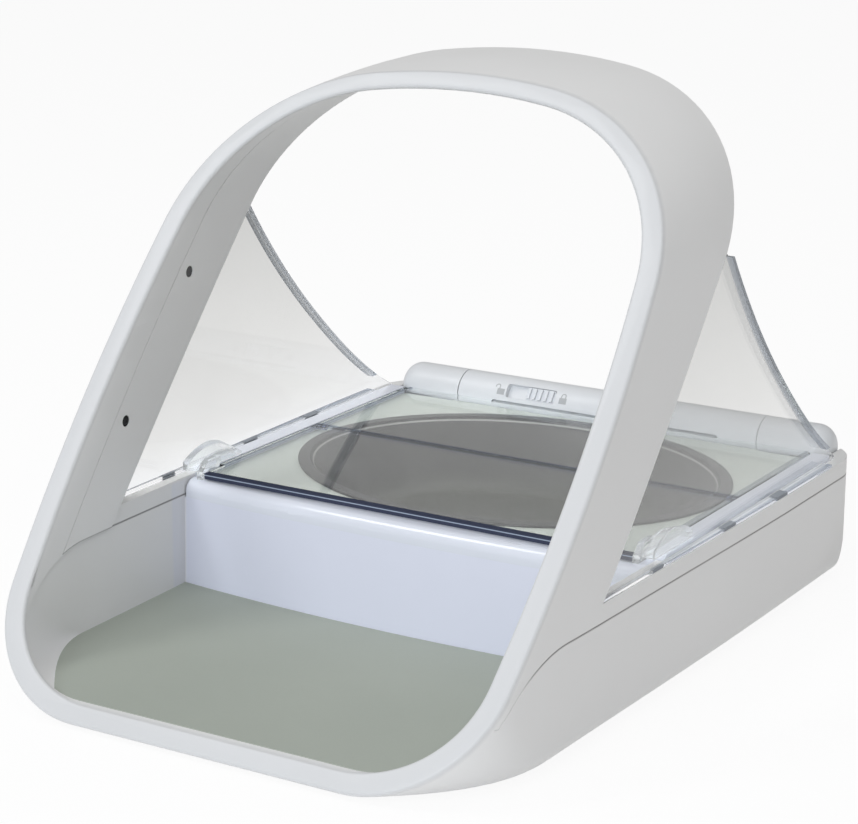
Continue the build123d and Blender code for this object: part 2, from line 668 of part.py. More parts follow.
def gear(teeth, x0, x1, y, z, turn):
    """Spur gear about an axis along X; turn sets where its first tooth points."""
    pitch_r = teeth * GEAR_MODULE / 2
    base_r = pitch_r * cos(PRESSURE)
    root_r = pitch_r - 1.2 * GEAR_MODULE
    tip_r = pitch_r + 0.85 * GEAR_MODULE
    half_at_pitch = 0.90 * pi / 2 / teeth
    radii = [root_r, (base_r + pitch_r) / 2, pitch_r + 0.4 * GEAR_MODULE, tip_r]
    points = []
    for k in range(teeth):
        middle = turn + 2 * pi * k / teeth
        halves = [half_at_pitch + involute(pitch_r, base_r) - involute(r, base_r) for r in radii]
        points += [(r * cos(middle - h), r * sin(middle - h)) for r, h in zip(radii, halves)]
        points += [(r * cos(middle + h), r * sin(middle + h)) for r, h in reversed(list(zip(radii, halves)))]
    sheet = Plane(origin=(x0, y, z), x_dir=(0, 1, 0), z_dir=(1, 0, 0)) * make_face(Polyline(*points, close=True))
    return extrude(sheet, amount=x1 - x0)


def mesh_turn(teeth, direction):
    """Turn that puts a tooth gap on the line towards the mating gear."""
    return direction + pi / teeth


TO_IDLER = atan2(IDLER_Z - AXIS_Z, IDLER_Y - AXIS_Y)
TO_PINION = atan2(PINION_Z - IDLER_Z, PINION_Y - IDLER_Y)


def drum_gear():
    wheel = gear(DRUM_TEETH, 88, 93, AXIS_Y, AXIS_Z, TO_IDLER)
    return wheel - rod_x(SHAFT_R, 80, 100, AXIS_Y, AXIS_Z)


def drive_shaft():
    return rod_x(SHAFT_R, -76, 96, AXIS_Y, AXIS_Z)


def idler_gear():
    small = gear(SMALL_TEETH, 87.5, 94.1, IDLER_Y, IDLER_Z, mesh_turn(SMALL_TEETH, TO_IDLER + pi))
    big = gear(BIG_TEETH, 94, 98, IDLER_Y, IDLER_Z, TO_PINION)
    return small + big - rod_x(1.55, 80, 100, IDLER_Y, IDLER_Z)


def motor_pinion():
    wheel = gear(PINION_TEETH, 93.6, 98.4, PINION_Y, PINION_Z, mesh_turn(PINION_TEETH, TO_PINION + pi))
    return wheel + rod_x(2, 84.3, 99, PINION_Y, PINION_Z)


def gearbox():
    case = box_between(58, 84, PINION_Y - 10, PINION_Y + 10, PINION_Z - 10, PINION_Z + 9.4)
    case = fillet(case.edges().filter_by(Axis.X), 2)
    post = box_between(81, 84, IDLER_Y - 4, IDLER_Y + 4, PINION_Z, IDLER_Z + 3.5)
    post = post - rod_x(1.5, 80, 90, IDLER_Y, IDLER_Z)
    return case + post - rod_x(2.05, 78, 90, PINION_Y, PINION_Z)


def idler_axle():
    return rod_x(1.5, 81, 99, IDLER_Y, IDLER_Z)


def motor():
    can = rod_x(9.6, 26, 58, PINION_Y, PINION_Z)
    can = fillet(can.edges().sort_by(Axis.X)[0], 1.2)
    return can + rod_x(3, 24, 27, PINION_Y, PINION_Z)


# ---------------------------------------------------------------- electrics
BUTTON_X = (-80.0, -52.0)
BUTTON_Z = 26.0
BUTTON_R = 5.8
BUTTON_TRAVEL = 1.5
SWITCH_X = -27.0
BOARD_Y = 146.0
BOARD_BASE_Z = 6.0
BOARD_POSTS = (-94.0, -66.0, -14.5)
BOARD_THICK = 1.6


def push_button(x):
    cap = rod_y(BUTTON_R, 154.8, REAR_Y + 0.9, x, BUTTON_Z)
    cap = fillet(cap.edges().sort_by(Axis.Y)[-1], 0.8)
    flange = rod_y(BUTTON_R + 1.6, 154.6, REAR_Y - SKIN - 0.2, x, BUTTON_Z)
    stem = rod_y(1.8, BOARD_Y + BOARD_THICK + 2.6, 155, x, BUTTON_Z)
    return cap + flange + stem


def delay_switch():
    knob = box_between(SWITCH_X - 2.5, SWITCH_X + 2.5, 154, REAR_Y + 0.8, BUTTON_Z - 2, BUTTON_Z + 2)
    knob = fillet(knob.edges().filter_by(Axis.Y), 0.8)
    flange = box_between(SWITCH_X - 10, SWITCH_X + 10, 154.8, REAR_Y - SKIN - 0.2, BUTTON_Z - 4.5, BUTTON_Z + 4.5)
    return knob + flange


def circuit_board():
    board = box_between(-96, -12, BOARD_Y, BOARD_Y + BOARD_THICK, BOARD_BASE_Z, 38)
    for x in BUTTON_X:
        board += box_between(x - 3, x + 3, BOARD_Y + 1, BOARD_Y + BOARD_THICK + 0.8, BUTTON_Z - 3, BUTTON_Z + 3)
    board += box_between(-60, -48, BOARD_Y - 2, BOARD_Y + 0.2, 10, 20)
    board += box_between(-30, -22, BOARD_Y - 1.5, BOARD_Y + 0.2, 12, 18)
    for x in (-90, -84, -78):
        board += rod_y(2.4, BOARD_Y - 6, BOARD_Y + 0.2, x, 14)
    board += box_between(-44, -34, BOARD_Y - 6, BOARD_Y + 0.2, 30, 36)
    return board


def battery_cells():
    cells = Part()
    for side in (1, -1):
        for row in (0, 1):
            y0 = BAY_Y0 + row * (CELL_LEN + 0.6) + (2.0 if row else 1.0)
            cell = rod_y(CELL_R, y0, y0 + CELL_LEN - 1.5, side * CELL_X, CELL_Z)
            cell = fillet(cell.edges(), 0.8)
            cells += cell + rod_y(3.6, y0 + CELL_LEN - 1.6, y0 + CELL_LEN, side * CELL_X, CELL_Z)
    return cells


def battery_contacts():
    strips = Part()
    for side in (1, -1):
        x = side * CELL_X
        for y0, y1, tip0, tip1 in ((-15.4, -14.8, -14.9, -11.1), (90.7, 91.1, 90.7, 90.8)):
            strips += box_between(x - 8, x + 8, y0, y1, 6.5, 22)
            strips += rod_y(4, tip0, tip1, x, CELL_Z)
    return strips


def battery_door():
    skin = SKIN_OUT - SKIN_IN
    return skin & door_box(0)


def rubber_feet():
    feet = Part()
    for x, y in FOOT_PAD_SPOTS:
        pad = rod_z(FOOT_PAD_R, 0, BASE_Z + 0.5, x, y)
        feet += fillet(pad.edges().sort_by(Axis.Z)[0], 0.6)
    return feet


def case_screws():
    screws = Part()
    for x, y in SCREW_SPOTS:
        screw = rod_z(2.8, 34.5, 36.8, x, y) + rod_z(1.5, 36.6, 46.4, x, y)
        screws += screw - rod_z(1.0, 34, 35.8, x, y)
    return screws


# ---------------------------------------------------------------- one file per piece
save(lower_casing(), "lower_casing")
save(upper_casing(), "upper_casing")
save(front_ring(), "hoop_front_ring")
save(hoop_liner(), "hoop_liner")
save(reader_coil(), "reader_coil")
save(sensor_pair(1), "ir_emitters")
save(sensor_pair(-1), "ir_receivers")
save(floor_mat(), "floor_mat")
save(rail_frame(), "rail_frame")
save(bowl_deck(), "bowl_deck")
save(bowl(), "bowl")
RIGHT_SHIELD = shield()
save(RIGHT_SHIELD, "right_shield")
save(mirrored(RIGHT_SHIELD), "left_shield")
save(drive_drum(), "drive_drum")
save(lock_slider(), "lock_slider")
RIGHT_END = bar_end()
save(RIGHT_END, "right_bar_end")
save(mirrored(RIGHT_END), "left_bar_end")
save(both_sides(bar_bush()), "bar_bushes")
save(lid_rear_panel(), "lid_rear_panel")
save(lid_front_panel(), "lid_front_panel")
save(lid_hinge_pins(), "lid_hinge_pins")
save(lid_slide_pins(), "lid_slide_pins")
RIGHT_SHOE = lid_shoe()
save(RIGHT_SHOE, "right_lid_shoe")
save(mirrored(RIGHT_SHOE), "left_lid_shoe")
save(drive_shaft(), "drive_shaft")
save(drum_gear(), "drum_gear")
save(idler_gear(), "idler_gear")
save(idler_axle(), "idler_axle")
save(motor_pinion(), "motor_pinion")
save(gearbox(), "gearbox")
save(motor(), "motor")
save(push_button(BUTTON_X[0]), "pet_button")
save(push_button(BUTTON_X[1]), "lid_button")
save(delay_switch(), "delay_switch")
save(circuit_board(), "circuit_board")
save(battery_cells(), "battery_cells")
save(battery_contacts(), "battery_contacts")
RIGHT_DOOR = battery_door()
save(RIGHT_DOOR, "right_battery_door")
save(mirrored(RIGHT_DOOR), "left_battery_door")
save(rubber_feet(), "rubber_feet")
save(case_screws(), "case_screws")
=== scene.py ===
# %% [markdown]
# A battery pet feeder: a white body with an open tray, a leaning hoop that reads the pet's chip,
# clear shields at both sides and a clear lid that folds up off a dark bowl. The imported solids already
# have every true size, so this notebook only dresses them: it smooths and softens their edges, prints
# two small signs on the bar, and gives each surface its finish.

# %% Load the frame
import json
import math

import bmesh
import bpy
from mathutils import Matrix, Vector

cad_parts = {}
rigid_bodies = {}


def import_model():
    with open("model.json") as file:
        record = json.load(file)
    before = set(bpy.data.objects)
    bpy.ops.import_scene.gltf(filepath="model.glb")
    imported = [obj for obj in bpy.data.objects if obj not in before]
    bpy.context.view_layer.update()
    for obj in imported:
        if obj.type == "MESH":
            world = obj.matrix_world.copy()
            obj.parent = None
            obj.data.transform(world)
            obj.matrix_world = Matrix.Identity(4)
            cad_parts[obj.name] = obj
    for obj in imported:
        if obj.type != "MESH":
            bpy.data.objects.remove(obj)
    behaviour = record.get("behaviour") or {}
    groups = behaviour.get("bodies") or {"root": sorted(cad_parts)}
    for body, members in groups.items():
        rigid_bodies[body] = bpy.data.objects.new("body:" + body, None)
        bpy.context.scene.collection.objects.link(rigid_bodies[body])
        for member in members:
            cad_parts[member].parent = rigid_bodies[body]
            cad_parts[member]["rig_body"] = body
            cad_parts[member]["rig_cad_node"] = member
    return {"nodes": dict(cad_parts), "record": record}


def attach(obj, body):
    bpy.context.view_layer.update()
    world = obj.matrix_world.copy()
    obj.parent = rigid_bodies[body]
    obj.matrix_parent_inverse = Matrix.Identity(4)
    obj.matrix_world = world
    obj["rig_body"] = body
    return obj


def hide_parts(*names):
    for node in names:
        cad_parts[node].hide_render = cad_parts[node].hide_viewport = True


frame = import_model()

scene = bpy.context.scene
nodes = frame["nodes"]
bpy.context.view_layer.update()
bodies = {node: body for body, group in frame["record"]["behaviour"]["bodies"].items() for node in group}
slots = {entry["node"]: entry["material_slot"] for entry in frame["record"]["subparts"]}
MM = 0.001
X, Y, Z = 0, 1, 2

# %% [markdown]
# Shader sums are easier to read as Python sums. A small class wraps one socket and makes a Math node
# for each sign, and a second one holds a material and makes any other node from its type, its
# settings and its inputs.

# %% Write shader sums as Python


class Val:
    """One shader socket that can be added, subtracted and multiplied like a number."""

    def __init__(self, coat, socket):
        self.coat = coat
        self.socket = socket

    def sum_of(self, kind, first, second=0.0):
        return self.coat.make("ShaderNodeMath", {"operation": kind}, {0: first, 1: second})

    def __add__(self, other):
        return self.sum_of("ADD", self, other)

    def __radd__(self, other):
        return self.sum_of("ADD", other, self)

    def __sub__(self, other):
        return self.sum_of("SUBTRACT", self, other)

    def __rsub__(self, other):
        return self.sum_of("SUBTRACT", other, self)

    def __mul__(self, other):
        return self.sum_of("MULTIPLY", self, other)

    def least(self, other):
        return self.sum_of("MINIMUM", self, other)

    def most(self, other):
        return self.sum_of("MAXIMUM", self, other)

    def size(self):
        return self.sum_of("ABSOLUTE", self)

    def root(self):
        return self.sum_of("SQRT", self)


class Coat:
    """A material with a Principled shader, and one method that makes any other node."""

    def __init__(self, name, **constants):
        self.material = bpy.data.materials.new(name)
        self.material.use_nodes = True
        self.tree = self.material.node_tree
        self.shader = self.tree.nodes["Principled BSDF"]
        self.output = self.tree.nodes["Material Output"]
        for key, value in constants.items():
            self.shader.inputs[key.replace("_", " ")].default_value = value

    def make(self, kind, settings=None, sockets=None, out=0):
        node = self.tree.nodes.new(kind)
        for key, value in (settings or {}).items():
            if key == "stops":
                while len(node.color_ramp.elements) < len(value):
                    node.color_ramp.elements.new(0.5)
                for stop, (place, colour) in zip(node.color_ramp.elements, value):
                    stop.position = place
                    stop.color = (*colour, 1)
            else:
                setattr(node, key, value)
        for key, value in (sockets or {}).items():
            if isinstance(value, Val):
                self.tree.links.new(value.socket, node.inputs[key])
            else:
                node.inputs[key].default_value = value
        return Val(self, node.outputs[out])

    def place(self):
        return self.make("ShaderNodeTexCoord", out="Object")

    def axis(self, number):
        return self.make("ShaderNodeSeparateXYZ", {}, {0: self.place()}, out=number)

    def noise(self, scale, detail=2.0):
        return self.make("ShaderNodeTexNoise", {}, {"Vector": self.place(), "Scale": scale, "Detail": detail})

    def ramp(self, value, stops):
        return self.make("ShaderNodeValToRGB", {"stops": stops}, {"Fac": value})

    def between(self, value, dark, light):
        """A tone that drifts from dark to light with a noise, which seldom leaves its middle range."""
        return self.ramp(value, [(0.3, dark), (0.7, light)])

    def multiplied(self, first, second, share=1.0):
        """The first colour times the second, by a share of the way."""
        sockets = {"Fac": share, 1: first, 2: second}
        return self.make("ShaderNodeMixRGB", {"blend_type": "MULTIPLY"}, sockets)

    def mixed(self, share, first, second):
        """The first shader at share 0, the second at share 1."""
        return self.make("ShaderNodeMixShader", {}, {"Fac": share, 1: first, 2: second})

    def ray(self, kind):
        return self.make("ShaderNodeLightPath", out=kind)

    def feed(self, name, value):
        self.tree.links.new(value.socket, self.shader.inputs[name])

    def bumped(self, height, strength, rise):
        self.feed("Normal", self.make(
            "ShaderNodeBump", {}, {"Height": height, "Strength": strength, "Distance": rise}
        ))

    def show(self, shader):
        self.tree.links.new(shader.socket, self.output.inputs["Surface"])


# %% [markdown]
# Moulded plastic is never one flat colour. It drifts a little in tone over a hand's width, its tooling
# leaves a fine grain that catches light, and its gloss is uneven. Each plastic here gets a slow noise
# in its colour and its roughness, and a fine one in its roughness and its bump. A noise averages one
# half, so what the two add to the roughness on average is taken off again.

# %% Moulded plastics
SLOW_SCALE = 14.0
SLOW_DETAIL = 3.0
SLOW_GLOSS = 0.04
GRAIN_SCALE = 900.0
GRAIN_GLOSS = 0.06
GRAIN_RISE = 0.2 * MM
GLOSS_MEAN = 0.05


def tinted(colour, factor):
    return tuple(min(1.0, channel * factor) for channel in colour)


def grained(coat, rough, depth, spread=GRAIN_GLOSS):
    """Uneven gloss close to rough, and a fine grain."""
    slow = coat.noise(SLOW_SCALE, SLOW_DETAIL)
    fine = coat.noise(GRAIN_SCALE)
    coat.feed("Roughness", rough - GLOSS_MEAN + fine * spread + slow * SLOW_GLOSS)
    coat.bumped(fine, depth, GRAIN_RISE)


def moulded(name, colour, rough, drift=0.03, depth=0.02):
    coat = Coat(name)
    slow = coat.noise(SLOW_SCALE, SLOW_DETAIL)
    coat.feed("Base Color", coat.between(slow, tinted(colour, 1 - drift), tinted(colour, 1 + drift)))
    grained(coat, rough, depth)
    return coat.material


# Painted cool light: the blue in frame white stands for the cool front light on the white rail frame.
frame_white = moulded("frame white", (0.72, 0.745, 0.82), 0.17, drift=0.012)
bar_white = moulded("bar white", (0.715, 0.73, 0.75), 0.36, drift=0.012)
deck_sage = moulded("deck sage", (0.43, 0.46, 0.42), 0.45, drift=0.02)
slider_grey = moulded("slider grey", (0.68, 0.70, 0.73), 0.40, drift=0.02)
sign_grey = moulded("sign grey", (0.44, 0.45, 0.46), 0.5, drift=0.02)
dark_plastic = moulded("dark plastic", (0.010, 0.010, 0.012), 0.25, drift=0.1)
gear_plastic = moulded("gear plastic", (0.72, 0.69, 0.62), 0.40)
grey_plastic = moulded("grey plastic", (0.16, 0.17, 0.18), 0.45)
button_green = moulded("button green", (0.30, 0.50, 0.28), 0.55, drift=0.04, depth=0.04)
button_grey = moulded("button grey", (0.40, 0.43, 0.45), 0.55, drift=0.04, depth=0.04)
foot_rubber = moulded("foot rubber", (0.030, 0.030, 0.030), 0.75, drift=0.15, depth=0.06)
board_green = moulded("board green", (0.02, 0.16, 0.07), 0.35, drift=0.08)
cell_jacket = moulded("cell jacket", (0.05, 0.06, 0.09), 0.28, drift=0.06)
print("plastics ready")

# %% [markdown]
# Several finishes change at known places of the object. A band is an axis, the two places where its
# ramp begins and ends in millimetres, and the ramp's stops. A band along x counts from the middle to
# both sides. Bands multiply, so three of them along x, y and z pick out a box.

# %% Bands of tone
PLAIN = (1.0, 1.0, 1.0)
NONE = (0.0, 0.0, 0.0)


def banded(coat, bands):
    """Product of all the bands at a point of the object."""
    total = None
    for axis, low, high, stops in bands:
        place = coat.axis(axis)
        if axis == X:
            place = place.size()
        band = coat.ramp((place - low * MM) * (1.0 / ((high - low) * MM)), stops)
        total = coat.multiplied(total, band) if total else band
    return total


# %% [markdown]
# The two casings meet in a fine seam that runs level along the body, bends down towards the hoop's
# front and fades out there. Its height is known at every y, so the casing's colour darkens within
# 0.6 mm of it, as the shadow in the joint does. The hoop's front ring has painted shade on its
# leaning face, a little greyer, and turns into the casing's white at its sides, so that their joint
# doesn't show. The wall between the tray and the bowl gets a painted cool cast of the front light.

# %% Casing with its seam, and front ring
SEAM_Z = 45.2 * MM
SEAM_R = 52.0 * MM
SEAM_BEND_Y = -92.0 * MM
SEAM_REACH = 0.60 * MM
SEAM_FADE_Y = -108.0 * MM
SEAM_FADE_LENGTH = 12.5 * MM
SEAM_SHADOW = (0.34, 0.33, 0.33)
FRONT_Y = -159.0 * MM
RING_PLATE = 3.6 * MM
# Painted shade: the ring's leaning front face is made a little greyer than its sides.
PAINTED_RING_SHADE = (0.79, 0.80, 0.815)
LEAN_SLOPE = math.tan(math.radians(39.5))
CASING_DARK = (0.765, 0.762, 0.758)
CASING_LIGHT = (0.785, 0.782, 0.778)
# Painted cool light: a blue cast of the front light, tinted into the wall between the tray and the bowl.
PAINTED_COOL_LIGHT = (0.90, 0.93, 1.07, 1)
COOL_LIGHT_BOX = [
    (X, 0.0, 110.0, [(0.0, PLAIN), (0.925, PLAIN), (0.935, NONE)]),
    (Y, -40.0, -20.0, [(0.0, NONE), (0.30, NONE), (0.38, PLAIN)]),
    (Y, -40.0, -10.0, [(0.0, PLAIN), (0.80, PLAIN), (0.90, NONE)]),
    (Z, 0.0, 50.0, [(0.0, NONE), (0.14, NONE), (0.17, PLAIN)]),
    (Z, 40.0, 60.0, [(0.0, PLAIN), (0.55, PLAIN), (0.60, NONE)]),
]


def white_finish(name, shade_of):
    """The casing's white plastic, with its colour shaded by a function of the coat."""
    coat = Coat(name)
    plain = coat.between(coat.noise(SLOW_SCALE, SLOW_DETAIL), CASING_DARK, CASING_LIGHT)
    coat.feed("Base Color", coat.multiplied(plain, shade_of(coat)))
    grained(coat, 0.42, 0.02)
    return coat.material


def seam_shadow_and_cool_light(coat):
    along = coat.axis(Y)
    ahead = (along - SEAM_BEND_Y).least(0.0)
    drop = (SEAM_R * SEAM_R - ahead * ahead).root()
    off = (coat.axis(Z) - (SEAM_Z - SEAM_R) - drop).size()
    faded = (off * (1.0 / SEAM_REACH)).most((SEAM_FADE_Y - along) * (1.0 / SEAM_FADE_LENGTH))
    line = coat.ramp(faded, [(0.0, SEAM_SHADOW), (1.0, PLAIN)])
    # The seam's painted shadow line, times the painted cool light inside the wall's box.
    return coat.multiplied(line, PAINTED_COOL_LIGHT, banded(coat, COOL_LIGHT_BOX))


def ring_shade(coat):
    # Painted shade on the leaning face, fading into plain white towards the sides.
    depth = (coat.axis(Y) - FRONT_Y - coat.axis(Z) * LEAN_SLOPE) * (1.0 / RING_PLATE)
    return coat.ramp(depth, [(0.1, PAINTED_RING_SHADE), (0.9, PLAIN)])


casing_white = white_finish("casing white", seam_shadow_and_cool_light)
ring_white = white_finish("ring white", ring_shade)

# %% [markdown]
# The tray mat is a soft sage sheet with a faint speckle and a dull, slightly pebbled face. Two noises
# make it: a coarse one for wear and a very fine one for the pebble.

# %% Mat rubber
MAT_DARK = (0.345, 0.375, 0.330)
MAT_LIGHT = (0.395, 0.425, 0.375)
MAT_PEBBLE_RISE = 0.15 * MM


def mat_finish():
    coat = Coat("mat sage")
    wear = coat.noise(9.0, 4.0)
    pebble = coat.noise(2600.0)
    coat.feed("Base Color", coat.between(wear * 0.6 + pebble * 0.4, MAT_DARK, MAT_LIGHT))
    coat.feed("Roughness", 0.55 + pebble * 0.15)
    coat.bumped(pebble, 0.12, MAT_PEBBLE_RISE)
    return coat.material


mat_sage = mat_finish()

# %% [markdown]
# The bowl is dark, and reads as three tones in the photograph: a nearly black rolled flange, a thin
# painted highlight where the flange turns down, and a wall that lightens towards the floor.

# %% Bowl
BOWL_FLOOR_Z = 24.7 * MM
BOWL_TOP_Z = 50.7 * MM
# Painted highlight along the inner lip, where the flange turns down.
BOWL_LIP_HIGHLIGHT = (0.30, 0.30, 0.28)
BOWL_TONES = [
    (0.0, (0.054, 0.056, 0.045)), (0.3, (0.036, 0.036, 0.033)), (0.930, (0.034, 0.034, 0.032)),
    (0.940, BOWL_LIP_HIGHLIGHT), (0.952, BOWL_LIP_HIGHLIGHT), (0.965, (0.010, 0.010, 0.010)),
]


def bowl_finish():
    coat = Coat("bowl dark")
    share = (coat.axis(Z) - BOWL_FLOOR_Z) * (1.0 / (BOWL_TOP_Z - BOWL_FLOOR_Z))
    coat.feed("Base Color", coat.ramp(share, BOWL_TONES))
    grained(coat, 0.38, 0.01, spread=0.05)
    return coat.material


bowl_dark = bowl_finish()

# %% [markdown]
# The lid, the shoes and the shields are clear polycarbonate. Real glass shading keeps the dark edge
# lines of a clear sheet. A shadow ray is let straight through, so that the bowl under the lid isn't
# lit through a caustic, which would be noisy. The thick rims gather more of the sheet's blue-grey,
# and bright lines run inside them, so each piece has bands of tint. Some edges are so deep that they
# look solid: there other bands mix in a dull colour. On the lid's nose that colour is a painted dark
# reflection with a painted highlight line, and low on the shields it is painted shade of slots.

# %% Clear plastic
SLATE = (0.40, 0.43, 0.49)
STEEL_BLUE = (0.60, 0.64, 0.71)
MIST = (0.52, 0.58, 0.76)
HAZE = (0.92, 0.94, 0.95)
# Painted dark reflection: the navy band along the lid's nose.
PAINTED_DARK_REFLECTION = (0.050, 0.057, 0.090)
# Painted highlight: the pale line along the front arris of the lid's nose.
PAINTED_EDGE_HIGHLIGHT = (0.36, 0.42, 0.52)
# Painted shade of the slots low on the shields.
SLOT_SHADE_GREY = (0.30, 0.32, 0.35)
LIP_GREY = (0.55, 0.58, 0.62)
HAZE_SHARE = (0.22, 0.22, 0.22)
LIP_SHARE = (0.45, 0.45, 0.45)
SHADOW_TINT = (0.92, 0.93, 0.93, 1)
SMEAR_SCALE = 40.0
SMEAR_DETAIL = 3.0
SMEAR_TONE = 0.985
SMEAR_GLOSS = 0.02


def clear_finish(name, tint, index, bands=(), dulls=()):
    coat = Coat(name, Transmission_Weight=1.0, IOR=index)
    smear = coat.noise(SMEAR_SCALE, SMEAR_DETAIL)
    colour = coat.between(smear, tinted(tint, SMEAR_TONE), tint)
    if bands:
        colour = coat.multiplied(colour, banded(coat, bands))
    coat.feed("Base Color", colour)
    coat.feed("Roughness", smear * SMEAR_GLOSS)
    look = Val(coat, coat.shader.outputs[0])
    for dull, dull_bands in dulls:
        paint = coat.make("ShaderNodeBsdfDiffuse", {}, {"Color": (*dull, 1)})
        look = coat.mixed(banded(coat, dull_bands), look, paint)
    passing = coat.make("ShaderNodeBsdfTransparent", {}, {"Color": SHADOW_TINT})
    coat.show(coat.mixed(coat.ray("Is Shadow Ray"), look, passing))
    return coat.material


# %% [markdown]
# Each list of stops below belongs to one place. The lid has a rim along its sides, the fold between
# its panels and a nose at its front, which carries a painted dark reflection and a painted highlight
# line. A shield has a lip along its outer edge, a tint that deepens towards the top, and painted
# shade of slots low down. A light haze lies over the plain clear pieces.

# %% Bands of the clear pieces
LID_ACROSS = (X, 93.5, 98.0)
LID_AT_FOLD = (Y, 62.65, 66.65)
LID_NOSE = (Y, -21.0, -17.0)
LID_NOSE_HEIGHT = (Z, 51.6, 54.0)
SHIELD_ACROSS = (X, 106.5, 111.0)
LID_SIDE = [
    (0.28, PLAIN), (0.36, SLATE), (0.62, SLATE), (0.68, PLAIN), (0.80, PLAIN), (0.86, SLATE),
]
LID_FOLD = [
    (0.08, PLAIN), (0.14, MIST), (0.42, MIST), (0.47, PLAIN),
    (0.53, PLAIN), (0.58, MIST), (0.86, MIST), (0.92, PLAIN),
]
LID_FRONT = [(0.0, PLAIN), (0.90, PLAIN), (0.97, NONE)]
# Where the painted highlight line runs along the nose's front arris.
LID_NOSE_HIGHLIGHT_LINE = [(0.0, NONE), (0.58, NONE), (0.64, PLAIN), (0.74, PLAIN), (0.80, NONE)]
SHIELD_EDGE = [
    (0.42, PLAIN), (0.46, STEEL_BLUE), (0.54, STEEL_BLUE), (0.60, PLAIN), (0.74, PLAIN), (0.80, STEEL_BLUE),
]
SHIELD_HEIGHT = [
    (0.0, (0.95, 0.955, 0.96)), (0.15, (0.87, 0.87, 0.865)),
    (0.45, (0.78, 0.78, 0.77)), (1.0, (0.65, 0.65, 0.64)),
]
# Three bands that together place the painted shade of the slots on each shield.
SLOT_SHADE_ACROSS = [(0.0, NONE), (0.42, NONE), (0.46, PLAIN)]
SLOT_SHADE_LOW = [(0.0, PLAIN), (0.8, PLAIN), (1.0, NONE)]
SLOT_SHADE_ALONG = [
    (0.0, NONE), (0.06, NONE), (0.065, PLAIN), (0.12, PLAIN), (0.125, NONE),
    (0.47, NONE), (0.475, PLAIN), (0.54, PLAIN), (0.545, NONE),
    (0.80, NONE), (0.805, PLAIN), (0.87, PLAIN), (0.875, NONE),
]
LIP_ACROSS = [(0.0, NONE), (0.42, NONE), (0.46, LIP_SHARE)]
LIP_HIGH = [(0.0, NONE), (1.0, PLAIN)]
EVERYWHERE = (Z, 0.0, 100.0, [(0.0, HAZE_SHARE), (1.0, HAZE_SHARE)])
clear = clear_finish("clear", (0.985, 0.99, 0.99), 1.18, dulls=[(HAZE, [EVERYWHERE])])
clear_lid = clear_finish(
    "clear lid", (0.965, 0.975, 0.975), 1.2,
    bands=[(*LID_ACROSS, LID_SIDE), (*LID_AT_FOLD, LID_FOLD)],
    dulls=[
        # The lid's nose: a painted dark reflection, with a painted highlight line on its arris.
        (PAINTED_DARK_REFLECTION, [(*LID_NOSE, LID_FRONT)]),
        (PAINTED_EDGE_HIGHLIGHT, [(*LID_NOSE, LID_FRONT), (*LID_NOSE_HEIGHT, LID_NOSE_HIGHLIGHT_LINE)]),
    ],
)
clear_shield = clear_finish(
    "clear shield", (0.98, 0.98, 0.98), 1.3,
    bands=[(*SHIELD_ACROSS, SHIELD_EDGE), (Z, 55.0, 150.0, SHIELD_HEIGHT)],
    dulls=[
        # Painted shade of three slots low on the shield.
        (SLOT_SHADE_GREY, [(*SHIELD_ACROSS, SLOT_SHADE_ACROSS), (Y, -40.0, 100.0, SLOT_SHADE_ALONG), (Z, 50.0, 58.0, SLOT_SHADE_LOW)]),
        (LIP_GREY, [(*SHIELD_ACROSS, LIP_ACROSS), (Z, 57.0, 60.0, LIP_HIGH)]),
    ],
)
print("clear plastics ready")

# %% [markdown]
# Inside are metal pieces. They are seldom seen, so all of them share one recipe: brushed streaks, with
# a warmer colour for the brass and the coil.

# %% Metals
STREAK_SCALE = 60.0
STREAK_DETAIL = 3.0
STREAK_GLOSS = 0.15


def metal(name, colour, rough, streak):
    coat = Coat(name, Metallic=1.0)
    stretched = coat.make("ShaderNodeMapping", {}, {"Vector": coat.place(), "Scale": streak})
    sockets = {"Vector": stretched, "Scale": STREAK_SCALE, "Detail": STREAK_DETAIL}
    lines = coat.make("ShaderNodeTexNoise", {}, sockets)
    coat.feed("Base Color", coat.between(lines, tinted(colour, 0.9), tinted(colour, 1.05)))
    coat.feed("Roughness", rough + lines * STREAK_GLOSS)
    return coat.material


steel = metal("steel", (0.60, 0.60, 0.61), 0.22, (1.0, 30.0, 30.0))
brass = metal("brass", (0.70, 0.50, 0.24), 0.25, (1.0, 20.0, 20.0))
copper_coil = metal("copper coil", (0.62, 0.28, 0.12), 0.30, (4.0, 60.0, 4.0))
print("metals ready")

# %% [markdown]
# The record names a slot for every solid, and each slot has one finish. The lid's panels and the
# shields share the slot of the clear pieces, but have bands of their own.

# %% Give every solid its finish
finishes = {
    "casing_white": casing_white, "ring_white": ring_white, "frame_white": frame_white, "clear": clear,
    "mat_sage": mat_sage, "deck_sage": deck_sage, "bowl_dark": bowl_dark, "bar_white": bar_white,
    "slider_grey": slider_grey, "dark_plastic": dark_plastic, "gear_plastic": gear_plastic,
    "grey_plastic": grey_plastic, "steel": steel, "brass": brass, "copper_coil": copper_coil,
    "board_green": board_green, "button_green": button_green, "button_grey": button_grey,
    "cell_jacket": cell_jacket, "foot_rubber": foot_rubber,
}
own_finish = {
    "lid_front_panel": clear_lid, "lid_rear_panel": clear_lid,
    "right_shield": clear_shield, "left_shield": clear_shield,
}
for node, solid in nodes.items():
    solid.data.materials.clear()
    solid.data.materials.append(own_finish.get(node, finishes[slots[node]]))
print("finishes", len(finishes))

